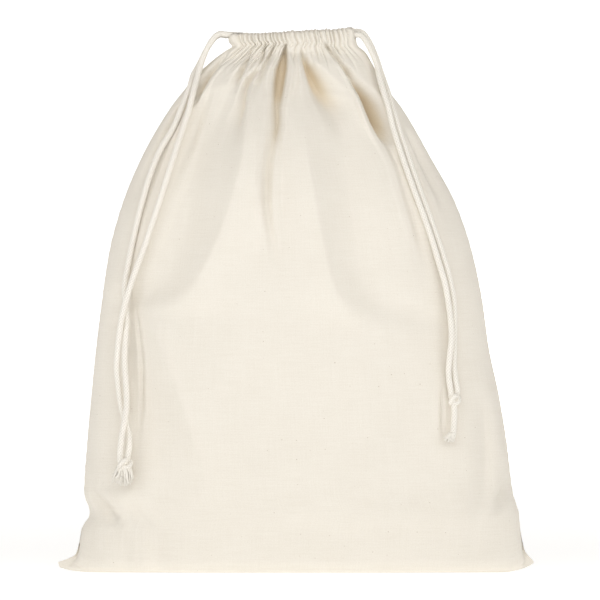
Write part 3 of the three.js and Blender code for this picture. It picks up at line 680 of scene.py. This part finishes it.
def panel_grids(side, folds, crests):
    """The outer and inner face of a panel, from the bottom seam up to the end of its hem, and how
    much painted shade each of their points gets for lying deep in a fold."""
    low = np.linspace(WALL_START, NECK_START, LOW_WALL_ROWS, endpoint=False)
    high = np.linspace(NECK_START, STITCH_HEIGHT, NECK_ROWS, endpoint=False)
    casing = np.linspace(STITCH_HEIGHT, CASING_TURN, CASING_ROWS)
    turn = np.linspace(0, math.pi, TURN_ROWS + 2)[1:-1]
    hem = np.linspace(CASING_TURN, STITCH_HEIGHT + HEM_OVER_STITCHES, HEM_ROWS)
    up = np.concatenate([low, high, casing])
    radius = (section("casing", CASING_TURN) - CLOTH) / 2
    # The path of the middle of the cloth, as its offset from the outer face, its height and the
    # direction that it faces
    offset = np.concatenate([
        np.full(len(up), -CLOTH / 2),
        -CLOTH / 2 - radius + radius * np.cos(turn),
        -(section("casing", hem) - CLOTH / 2),
    ])[:, None]
    height = np.concatenate([up, CASING_TURN + radius * np.sin(turn), hem])
    facing_out = np.concatenate([np.ones(len(up)), np.cos(turn), -np.ones(len(hem))])[:, None]
    facing_up = np.concatenate([np.zeros(len(up)), np.sin(turn), np.zeros(len(hem))])[:, None]
    x, y, normal_x, normal_y, fold = wall_grid(side, folds, crests, height)
    share, ruffle, ridge, reach, lift = ruffle_shape(side)
    z = height[:, None]
    stitches = table_value(STITCH_COLUMNS, STITCH_RISE, "rise", share)
    drawn = z - stitches * smooth(*PULL_BELOW, z) * (1 - smooth(*PULL_ABOVE, z))
    fade = smooth(reach + RUFFLE_FADE[0], reach + RUFFLE_FADE[1], z)
    amount = section("ruffle", drawn) * fade
    dip = MOUTH_DIP["depth"] * np.exp(-(((x - MOUTH_DIP["x"]) / MOUTH_DIP["width"]) ** 2))
    dip = dip - smooth(*MOUTH_RISE, x)
    rise = smooth(*TOP_EDGE, z) * (lift - VALLEY_DIP * (1 - ridge) - dip)
    pucker = seam_pucker(share, z, side) * (1 - smooth(*PUCKER_TOP, z))
    faces = []
    for face in (0.5, -0.5):
        out = offset + face * CLOTH * facing_out
        out = out + amount * facing_out * ruffle + pucker
        face_x = x + normal_x * out
        face_y = y + normal_y * out
        face_z = z + face * CLOTH * facing_up + rise
        clear = SEAM_GAP + section("open", z)
        face_y = side * np.maximum(side * face_y, clear)
        face_z = face_z + NECK_TILT * face_x * smooth(NECK_TILT_START, STITCH_HEIGHT, z)
        faces.append(np.stack([face_x, face_y, face_z], axis=-1))
    below = base_grid(side, faces[0][0])
    outer = np.concatenate([below, faces[0]])
    normals = grid_normals(outer, side)[: len(below)]
    stand_off = SEAM_GAP + CLOTH * np.abs(normals[..., 1])
    outer[: len(below), :, 1] = side * np.maximum(side * below[..., 1], stand_off)
    lining = outer[: len(below)] - CLOTH * normals
    lining[..., 1] = side * np.maximum(side * lining[..., 1], SEAM_GAP)
    inner = np.concatenate([lining, faces[1]])
    # Painted shade in folds: none above the first depth, whole below the second
    deep = np.concatenate([np.zeros((len(below), COLUMNS + 1)), smooth(*PAINTED_FOLD_SHADE_DEPTHS, fold)])
    return outer * MM, inner * MM, deep


def base_grid(side, wall):
    """Rows from the bottom seam over the floor and round the bottom edge, up to the wall."""
    on_floor = np.linspace(0, 2, FLOOR_ROWS)
    on_edge = np.linspace(2, 4, EDGE_ROWS)[1:]
    step = np.concatenate([on_floor, on_edge])[:, None]
    base = {key: table_value(BASE_COLUMNS, BASE, key, step) for key in BASE_COLUMNS[1:]}
    floor = np.clip(step / 2, 0, 1)
    turn = np.radians(np.clip(step - 2, 0, 2) * 45)
    share = np.linspace(0, 1, COLUMNS + 1)
    depth = np.abs(wall[:, 1])
    radius = np.minimum(BASE_EDGE_RADIUS, depth)
    way = FLOOR_TO_WALL * floor + EDGE_TO_WALL * turn / (math.pi / 2)
    from_middle = np.abs(2 * share - 1)
    ear = smooth(EAR_START, 1, from_middle)
    _, seam_left, seam_right, _, _ = BASE[0]
    seam_x = -seam_left + (seam_left + seam_right) * share
    ear_x = np.where(share < 0.5, -base["left"], base["right"])
    ear_z = np.where(share < 0.5, base["left_height"], base["right_height"])
    out = floor * (depth - radius) + radius * np.sin(turn)
    x = seam_x + (wall[:, 0] - seam_x) * way
    x = x + (ear_x - x) * ear
    tuck = np.exp(-(((from_middle - EAR_TUCK_SHARE) / EAR_TUCK_WIDTH) ** 2))
    out = out - EAR_TUCK * tuck * smooth(0.1, 0.7, floor)
    y = side * np.maximum(out, SEAM_GAP)
    z = radius * (1 - np.cos(turn)) + BASE_LIFT * smooth(0.15, 1, floor)
    z = z + (ear_z - z) * ear
    return np.stack([x, np.broadcast_to(y, x.shape), z], axis=-1)


def grid_normals(grid, side):
    """Outward normals of a grid from the points beside each one."""
    across = np.gradient(grid, axis=1)
    up = np.gradient(grid, axis=0)
    normal = np.cross(across, up) * (1 if side < 0 else -1)
    size = np.linalg.norm(normal, axis=-1, keepdims=True)
    return normal / np.maximum(size, 1e-9)


def press_under_cords(outer, inner, side, cords):
    """Cloth that a cord lies on gives way to it, with a soft dent."""
    clear = CORD_RADIUS + CORD_ROOM
    places = np.concatenate(cords)
    tree = KDTree(len(places))
    for index, place in enumerate(places):
        tree.insert(place, index)
    tree.balance()
    inwards = -grid_normals(outer, side)
    dent = np.zeros(outer.shape[:2])
    for spot in np.ndindex(dent.shape):
        moved = 0.0
        for _ in range(PUSHES):
            _, _, distance = tree.find(outer[spot] + inwards[spot] * moved)
            if distance >= clear:
                break
            moved += clear - distance + PUSH_OVER
        dent[spot] = moved
    soft = dent.copy()
    for _ in range(DENT_SOFTENINGS):
        padded = np.pad(soft, 1, mode="edge")
        beside = padded[:-2, 1:-1] + padded[2:, 1:-1] + padded[1:-1, :-2] + padded[1:-1, 2:]
        soft = np.maximum(beside / 4, dent)
    shift = inwards * soft[..., None]
    return outer + shift, inner + shift


def add_thread(points, faces, path, thick, sides):
    """Adds a thread along a path, with a flat end at each side, to a mesh's points and faces."""
    across, over = tube_frames(path)
    first = len(points)
    for j in range(len(path)):
        for k in range(sides):
            angle = 2 * math.pi * k / sides
            away = math.cos(angle) * across[j] + math.sin(angle) * over[j]
            points.append(path[j] + thick[j] * away)
    for j in range(len(path) - 1):
        for k in range(sides):
            a = first + j * sides + k
            b = first + j * sides + (k + 1) % sides
            faces.append((a, b, b + sides, a + sides))
    last = first + (len(path) - 1) * sides
    faces.append(tuple(first + k for k in reversed(range(sides))))
    faces.append(tuple(last + k for k in range(sides)))


def casing_stitches(name, outer, side, material):
    """The casing's row of stitches, each a short thread that lies on the cloth."""
    share = np.linspace(0, 1, COLUMNS + 1)
    rise = table_value(STITCH_COLUMNS, STITCH_RISE, "rise", share)
    wanted = STITCH_HEIGHT - STITCH_DROP + rise
    tilt = NECK_TILT * outer[..., 0] * smooth(NECK_TILT_START, STITCH_HEIGHT, outer[..., 2] / MM)
    level = outer[..., 2] / MM - tilt / MM
    wall = FLOOR_ROWS + EDGE_ROWS - 1
    stitched = wall + LOW_WALL_ROWS + NECK_ROWS
    climbing = slice(wall, stitched + CASING_ROWS)
    line = np.array([
        places_along(wanted[column], level[climbing, column], outer[climbing, column])
        for column in range(COLUMNS + 1)
    ])
    line = line + grid_normals(outer, side)[stitched] * STITCH_RADIUS * 0.5
    length = lengths_along(line)
    f = np.linspace(0, 1, STITCH_RINGS)
    thick = STITCH_RADIUS * np.sqrt(1 - STITCH_TAPER * (2 * f - 1) ** 2)
    points = []
    faces = []
    for start in np.linspace(0.01, 0.99, STITCHES) * length[-1]:
        path = places_along(start + (f - 0.5) * STITCH_LENGTH, length, line)
        add_thread(points, faces, path, thick, STITCH_SIDES)
    return mesh_object(name, np.array(points), faces, np.zeros((len(points), 2)), material)


def sheet_object(name, outer, inner, deep, side, material):
    """A closed sheet between an outer and an inner grid, with its flat place as UV in metres."""
    rows, columns = outer.shape[:2]
    points = np.concatenate([outer.reshape(-1, 3), inner.reshape(-1, 3)])
    index = np.arange(rows * columns).reshape(rows, columns)
    under = index + rows * columns

    def quads(a, b, c, d):
        return np.stack([a.ravel(), b.ravel(), c.ravel(), d.ravel()], axis=1)

    faces = np.concatenate([
        quads(index[:-1, :-1], index[:-1, 1:], index[1:, 1:], index[1:, :-1]),
        quads(under[:-1, :-1], under[1:, :-1], under[1:, 1:], under[:-1, 1:]),
        quads(index[:-1, 0], index[1:, 0], under[1:, 0], under[:-1, 0]),
        quads(index[:-1, -1], under[:-1, -1], under[1:, -1], index[1:, -1]),
        quads(index[0, :-1], under[0, :-1], under[0, 1:], index[0, 1:]),
        quads(index[-1, :-1], index[-1, 1:], under[-1, 1:], under[-1, :-1]),
    ])
    if side > 0:
        faces = faces[:, ::-1]
    centre = columns // 2
    middle = outer[:, centre - MIDDLE_COLUMNS : centre + MIDDLE_COLUMNS].mean(axis=1)
    u = np.broadcast_to(np.linspace(0, FLAT_WIDTH * MM, columns), (rows, columns))
    v = np.broadcast_to(lengths_along(middle)[:, None], (rows, columns))
    flat = np.stack([u.ravel(), v.ravel()], axis=1)
    # Each point's share of painted fold shade, the same on both faces
    shade = np.concatenate([deep.ravel(), deep.ravel()])
    return mesh_object(name, points, faces.tolist(), np.concatenate([flat, flat]), material, shade)


def mesh_object(name, points, faces, uv, material, shade=None):
    mesh = bpy.data.meshes.new(name)
    mesh.from_pydata(points.tolist(), [], faces)
    layer = mesh.uv_layers.new(name="flat")
    corner = np.empty(len(mesh.loops), np.int32)
    mesh.loops.foreach_get("vertex_index", corner)
    layer.data.foreach_set("uv", uv[corner].astype(np.float32).ravel())
    if shade is not None:
        attribute = mesh.attributes.new("shade", "FLOAT", "POINT")
        attribute.data.foreach_set("value", shade.astype(np.float32))
    mesh.polygons.foreach_set("use_smooth", np.ones(len(mesh.polygons), bool))
    mesh.materials.append(material)
    return place_object(name, mesh)


def place_object(name, data):
    obj = bpy.data.objects.new(name, data)
    bpy.context.scene.collection.objects.link(obj)
    return obj


def spline_points(route, step):
    """Even points along a centripetal spline through a route, and its length."""
    p = np.array(route, float)
    p = np.concatenate([[2 * p[0] - p[1]], p, [2 * p[-1] - p[-2]]])
    f = np.linspace(0, 1, 24, endpoint=False)[:, None]
    from_b, from_c, leave, arrive = cubic_shares(f)

    def slope(before, at, after, first, second):
        whole = (after - before) / (first + second)
        return (at - before) / first - whole + (after - at) / second

    out = []
    for i in range(1, len(p) - 2):
        a, b, c, d = p[i - 1 : i + 3]
        t0 = np.linalg.norm(b - a) ** 0.5
        t1 = np.linalg.norm(c - b) ** 0.5
        t2 = np.linalg.norm(d - c) ** 0.5
        start = slope(a, b, c, t0, t1) * t1
        end = slope(b, c, d, t1, t2) * t1
        out.append(b * from_b + c * from_c + start * leave + end * arrive)
    points = np.concatenate([*out, p[-2:-1]])
    length = lengths_along(points)
    count = max(int(round(length[-1] / step)), 2)
    return places_along(np.linspace(0, length[-1], count + 1), length, points), length[-1]


def tube_frames(points):
    """Two directions across a path at each of its points, without twist from one to the next."""
    tangent = np.gradient(points, axis=0)
    tangent /= np.linalg.norm(tangent, axis=1, keepdims=True)
    side = np.empty_like(points)
    start = np.array([0.0, -1.0, 0.0])
    if abs(np.dot(start, tangent[0])) > 0.9:
        start = np.array([0.0, 0.0, 1.0])
    side[0] = start - tangent[0] * np.dot(start, tangent[0])
    side[0] /= np.linalg.norm(side[0])
    for i in range(1, len(points)):
        side[i] = side[i - 1] - tangent[i] * np.dot(side[i - 1], tangent[i])
        side[i] /= np.linalg.norm(side[i])
    return side, np.cross(tangent, side)


def braid_height(around, along, radius):
    """Height of a braid, from 0 in its gaps to 1 on its strands."""
    slope = BRAID_CARRIERS * math.tan(math.radians(BRAID_ANGLE))
    pitch = 2 * math.pi * radius * BRAID_CLOSENESS / slope
    one = BRAID_CARRIERS * around + along / pitch
    two = BRAID_CARRIERS * around - along / pitch
    heights = []
    for strand, other, shift in ((one, two, 0.5), (two, one, 1.5)):
        body = 1 - np.abs(2 * (strand - np.floor(strand)) - 1) ** BRAID_EDGE
        over = np.cos(math.pi * (other - shift - np.floor(strand)))
        heights.append(body * (1 - BRAID_OVER + BRAID_OVER * over))
    return np.maximum(*heights)


def braided_tube(name, points, radius, material, sides=CORD_SIDES):
    """A closed tube along points whose surface is braided. The braid's height is kept at each point
    and sets the painted shade in the gaps.
    """
    side, other = tube_frames(points)
    along = lengths_along(points)[:, None]
    around = np.arange(sides) / sides
    high = braid_height(around, along, radius)
    size = radius * (BRAID_LOW + BRAID_RISE * high)
    turn = 2 * math.pi * around
    ring = np.cos(turn)[:, None] * side[:, None] + np.sin(turn)[:, None] * other[:, None]
    grid = points[:, None] + ring * size[..., None]
    index = np.arange(len(points) * sides).reshape(len(points), sides)
    beside = np.roll(index, -1, axis=1)
    quads = np.stack([index[:-1], beside[:-1], beside[1:], index[1:]], axis=-1).reshape(-1, 4)
    uv = np.stack([
        np.broadcast_to(around * 2 * math.pi * radius, high.shape),
        np.broadcast_to(along, high.shape),
    ], axis=-1).reshape(-1, 2)
    first = index.size
    last = first + 1
    faces = quads.tolist()
    faces += [(first, int(beside[0, k]), int(index[0, k])) for k in range(sides)]
    faces += [(last, int(index[-1, k]), int(beside[-1, k])) for k in range(sides)]
    return mesh_object(
        name,
        np.concatenate([grid.reshape(-1, 3), points[[0, -1]]]),
        faces,
        np.concatenate([uv, [[0, along[0, 0]], [0, along[-1, 0]]]]),
        material,
        np.concatenate([high.ravel(), [0.5, 0.5]]),
    )


class Nodes:
    """The nodes of a new material, with its shader and ways to add more."""

    def __init__(self, name):
        self.material = bpy.data.materials.new(name)
        self.material.use_nodes = True
        self.tree = self.material.node_tree
        self.shader = self.tree.nodes["Principled BSDF"]

    def feed(self, node, inputs):
        """Sets each input of a node to a value, or joins it to another node's output."""
        for key, value in inputs.items():
            if isinstance(value, bpy.types.NodeSocket):
                self.tree.links.new(value, node.inputs[key])
            else:
                node.inputs[key].default_value = value

    def add(self, kind, inputs=(), **settings):
        node = self.tree.nodes.new(kind)
        for key, value in settings.items():
            setattr(node, key, value)
        self.feed(node, dict(inputs))
        return node

    def calc(self, operation, *values):
        return self.add("ShaderNodeMath", enumerate(values), operation=operation).outputs[0]

    def flat_place(self):
        return self.add("ShaderNodeUVMap", uv_map="flat").outputs["UV"]

    def shade(self):
        return self.add("ShaderNodeAttribute", attribute_name="shade").outputs["Fac"]

    def scaled(self, place, scale):
        return self.add("ShaderNodeMapping", {"Vector": place, "Scale": scale}).outputs["Vector"]

    def noise(self, place, scale_u, scale_v, detail, roughness):
        moved = self.scaled(place, (scale_u, scale_v, 1.0))
        inputs = {"Vector": moved, "Scale": 1.0, "Detail": detail, "Roughness": roughness}
        return self.add("ShaderNodeTexNoise", inputs, noise_dimensions="2D").outputs["Fac"]

    def ramp(self, level, dark, light, ends=(0.0, 1.0)):
        node = self.add("ShaderNodeValToRGB", {"Fac": level})
        for i, colour in enumerate((dark, light)):
            node.color_ramp.elements[i].position = ends[i]
            node.color_ramp.elements[i].color = colour
        return node.outputs["Color"]

    def bump(self, height, strength, distance):
        inputs = {"Height": height, "Strength": strength, "Distance": distance}
        return self.add("ShaderNodeBump", inputs).outputs["Normal"]


def cloth_material():
    """Unbleached plain-weave cotton: threads, slubs along both ways, flecks of husk, mottling."""
    nodes = Nodes("cotton_canvas")
    add = nodes.add
    calc = nodes.calc
    place = nodes.flat_place()
    split = add("ShaderNodeSeparateXYZ", {"Vector": place})
    across = calc("SINE", calc("MULTIPLY", split.outputs["X"], 2 * math.pi / THREAD_PITCH))
    along = calc("SINE", calc("MULTIPLY", split.outputs["Y"], 2 * math.pi / THREAD_PITCH))
    weave = calc("MULTIPLY", across, along)
    noise = {key: nodes.noise(place, *values) for key, values in CLOTH_NOISE.items()}
    warp = calc("MULTIPLY", noise["warp"], WARP_SHARE)
    level = {"weave": weave, "thread": calc("ADD", noise["weft"], warp), **noise}

    def mixture(shares):
        """A sum of levels, each times its share."""
        parts = [calc("MULTIPLY", level[key], share) for key, share in shares.items()]
        total = parts[0]
        for part in parts[1:]:
            total = calc("ADD", total, part)
        return total

    off_middle = calc("MULTIPLY", calc("SUBTRACT", mixture(TONE), TONE_MIDDLE), TONE_SPREAD)
    tinted = nodes.ramp(calc("ADD", off_middle, 0.5), CLOTH_DARK, CLOTH_LIGHT)
    # Flecks: specks at some points of a scatter, of many sizes and strengths
    cells = add(
        "ShaderNodeTexVoronoi",
        {"Vector": nodes.scaled(place, FLECK_SCATTER), "Scale": 1.0, "Randomness": 1.0},
        voronoi_dimensions="2D",
    )
    chosen = add("ShaderNodeSeparateColor", {"Color": cells.outputs["Color"]}).outputs
    size = calc("MULTIPLY", calc("SUBTRACT", chosen["Red"], FLECK_NONE), 0.16)
    speck = calc("GREATER_THAN", size, cells.outputs["Distance"])
    strength = calc("MULTIPLY", speck, calc("MULTIPLY", chosen["Green"], 0.6))
    # Painted shade: cloth deep in a fold is multiplied by a darker, warmer colour, which stands in for
    # the light passed from cloth to cloth there.
    painted_fold_shade = add(
        "ShaderNodeMix",
        {0: nodes.shade(), 6: tinted, 7: PAINTED_FOLD_SHADE},
        data_type="RGBA",
        blend_type="MULTIPLY",
    )
    mixed = add("ShaderNodeMix", {0: strength, 6: painted_fold_shade.outputs[2], 7: FLECK}, data_type="RGBA")
    bump = nodes.bump(mixture(RELIEF), 0.5, 0.00012)
    nodes.feed(nodes.shader, {
        "Base Color": mixed.outputs[2],
        "Normal": bump,
        "Roughness": 0.94,
        "Specular IOR Level": 0.18,
        "Sheen Weight": 0.12,
        "Sheen Roughness": 0.6,
    })
    return nodes.material


def cord_material():
    """Bleached cotton braid: paler strands, gaps darkened by painted shade, fine fibres along it."""
    nodes = Nodes("cotton_cord")
    fibre = nodes.noise(nodes.flat_place(), 2600.0, 900.0, 3.0, 0.65)
    # Painted shade: the braid's height, low in its gaps, darkens the cord's colour there
    braid = nodes.calc("MULTIPLY", nodes.shade(), 0.72)
    level = nodes.calc("ADD", braid, nodes.calc("MULTIPLY", fibre, 0.4))
    colour = nodes.ramp(level, CORD_GAP_SHADE_AND_DARK_FIBRE, CORD_LIGHT, (0.15, 0.75))
    bump = nodes.bump(fibre, 0.4, 0.0001)
    nodes.feed(nodes.shader, {
        "Base Color": colour,
        "Normal": bump,
        "Roughness": 0.9,
        "Specular IOR Level": 0.2,
        "Sheen Weight": 0.15,
        "Sheen Roughness": 0.5,
    })
    return nodes.material


def frayed_end(name, fray, seed, material):
    """Loose fibres that hang and spread from a cord's cut end."""
    rng = np.random.default_rng(seed)
    wide, deep = fray["half"]
    f = np.linspace(0, 1, FIBRE_JOINTS)[:, None]
    points = []
    faces = []
    uv = []
    for _ in range(fray["count"]):
        turn = rng.uniform(0, 2 * math.pi)
        away = math.sqrt(rng.uniform(0, 1))
        ring = np.array([math.cos(turn), math.sin(turn), 0.0])
        heading = ring * (1.0, 0.75, 0.0)
        root = fray["top"] + away * (ring * (wide, deep, 0.0))
        reach = fray["spread"] * away * rng.uniform(0.35, 1.0)
        drop = fray["length"] * rng.uniform(0.62, 1.0) * (1 - 0.25 * away)
        curl = rng.normal(0, 0.0007, 3)
        line = root + heading * reach * f**1.4 + np.array([fray["lean"], 0, -drop]) * f
        line = line + curl * np.sin(math.pi * f * rng.uniform(0.7, 1.9))
        thick = rng.uniform(0.00045, 0.00085) * (1 - 0.4 * f[:, 0] ** 2)
        add_thread(points, faces, line, thick, FIBRE_SIDES)
        uv += [(k * 0.0003, way * drop) for way in f[:, 0] for k in range(FIBRE_SIDES)]
    shade = np.full(len(points), FIBRE_SHADE)
    return mesh_object(name, np.array(points), faces, np.array(uv), material, shade)


def knot_path(knot):
    """A loop that winds twice round the strands and crosses itself three times."""
    turn = np.linspace(0, 2 * math.pi, KNOT_POINTS) + KNOT_START
    wide, deep, high = knot["half"]
    ring = (2 + np.cos(3 * turn)) / 3
    x = wide * ring * np.cos(2 * turn)
    y = deep * ring * np.sin(2 * turn)
    z = high * np.sin(3 * turn)
    return np.array(knot["centre"]) + np.stack([x, y, z], axis=1)


def stage():
    """A pale floor that turns up into a far wall behind the bag. Both glow, and more with the
    distance behind the bag, where less of the lamps' light reaches."""
    level = np.linspace(0, STAGE_REACH - STAGE_BEND, STAGE_ROWS)
    profile = [(-STAGE_REACH, 0.0)] + [(y, 0.0) for y in level]
    for angle in np.linspace(0, math.pi / 2, BEND_ROWS + 1)[1:]:
        y = STAGE_REACH + STAGE_BEND * (math.sin(angle) - 1)
        profile.append((y, STAGE_BEND * (1 - math.cos(angle))))
    profile.append((STAGE_REACH, STAGE_REACH))
    points = np.array([(x, y, z) for y, z in profile for x in (-STAGE_REACH, STAGE_REACH)])
    faces = [(2 * i, 2 * i + 1, 2 * i + 3, 2 * i + 2) for i in range(len(profile) - 1)]
    glow = FLOOR_GLOW + (WALL_GLOW - FLOOR_GLOW) * smooth(0, WALL_GLOW_AT, points[:, 1])
    nodes = Nodes("studio_sweep")
    nodes.feed(nodes.shader, {
        "Base Color": (0.75, 0.75, 0.75, 1.0),
        "Roughness": 1.0,
        "Specular IOR Level": 0.0,
        "Emission Color": (1.0, 1.0, 1.0, 1.0),
        "Emission Strength": nodes.shade(),
    })
    flat = np.zeros((len(points), 2))
    sweep = mesh_object("studio_sweep", points, faces, flat, nodes.material, glow)


def area_light(name, place, size, power):
    light = bpy.data.lights.new(name, "AREA")
    light.shape = "RECTANGLE"
    light.size, light.size_y = size
    light.energy = power
    light.color = (0.985, 0.99, 1.0)
    obj = place_object(name, light)
    obj.location = place
    aim = Vector(LAMP_TARGET) - Vector(place)
    obj.rotation_euler = aim.to_track_quat("-Z", "Y").to_euler()


def camera_and_light():
    camera = bpy.data.cameras.new("photo_camera")
    camera.sensor_width = SENSOR
    camera.lens = SENSOR * VIEW_DISTANCE / VIEW_WIDTH
    camera.clip_end = 50.0
    obj = place_object("photo_camera", camera)
    obj.location = (VIEW_CENTRE[0], -VIEW_DISTANCE, VIEW_CENTRE[1])
    obj.rotation_euler = (math.pi / 2, 0.0, 0.0)
    bpy.context.scene.camera = obj
    bpy.context.scene.view_settings.view_transform = "Standard"
    world = bpy.data.worlds.new("studio")
    world.use_nodes = True
    background = world.node_tree.nodes["Background"]
    background.inputs["Color"].default_value = (1.0, 0.92, 0.8, 1.0)
    background.inputs["Strength"].default_value = 0.2
    bpy.context.scene.world = world
    for name, (place, size, power) in LAMPS.items():
        area_light(name, place, size, power)


def finish_piece(obj, node=None):
    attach(obj, "root")
    if node:
        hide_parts(node)


camera_and_light()
cord_finish = cord_material()
cloth_finish = cloth_material()

knots = {}
for node, knot in KNOTS.items():
    wraps = node + "_wraps"
    knots[node] = braided_tube(wraps, knot_path(knot), KNOT_CORD, cord_finish, sides=KNOT_SIDES)
    finish_piece(knots[node], node)

tail_points, _ = spline_points(RIGHT_TAIL, CORD_STEP)
tail = braided_tube("right_tail_braid", tail_points, CORD_RADIUS, cord_finish)
finish_piece(tail, "right_tail")
left_fray = frayed_end("left_frayed_ends", LEFT_FRAY, 21, cord_finish)
finish_piece(left_fray, "left_fray")
right_fray = frayed_end("right_frayed_end", RIGHT_FRAY, 22, cord_finish)
finish_piece(right_fray, "right_fray")

cord_lines = []
for node, route, knot, leaves in CORDS:
    points, length = spline_points(route, CORD_STEP)
    cord_lines.append(points[::2])
    cord = braided_tube(node + "_braid", points, CORD_RADIUS, cord_finish)
    finish_piece(cord, node)
    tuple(leaves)

for name, node, side, folds, crests in (
    ("front_cloth", "front_panel", -1, FRONT_FOLDS, FRONT_CRESTS),
    ("back_cloth", "back_panel", 1, BACK_FOLDS, {}),
):
    outer, inner, deep = panel_grids(side, folds, crests)
    outer, inner = press_under_cords(outer, inner, side, cord_lines)
    panel = sheet_object(name, outer, inner, deep, side, cloth_finish)
    finish_piece(panel, node)
    stitches = casing_stitches(name.replace("cloth", "stitches"), outer, side, cloth_finish)
    finish_piece(stitches)

stage()
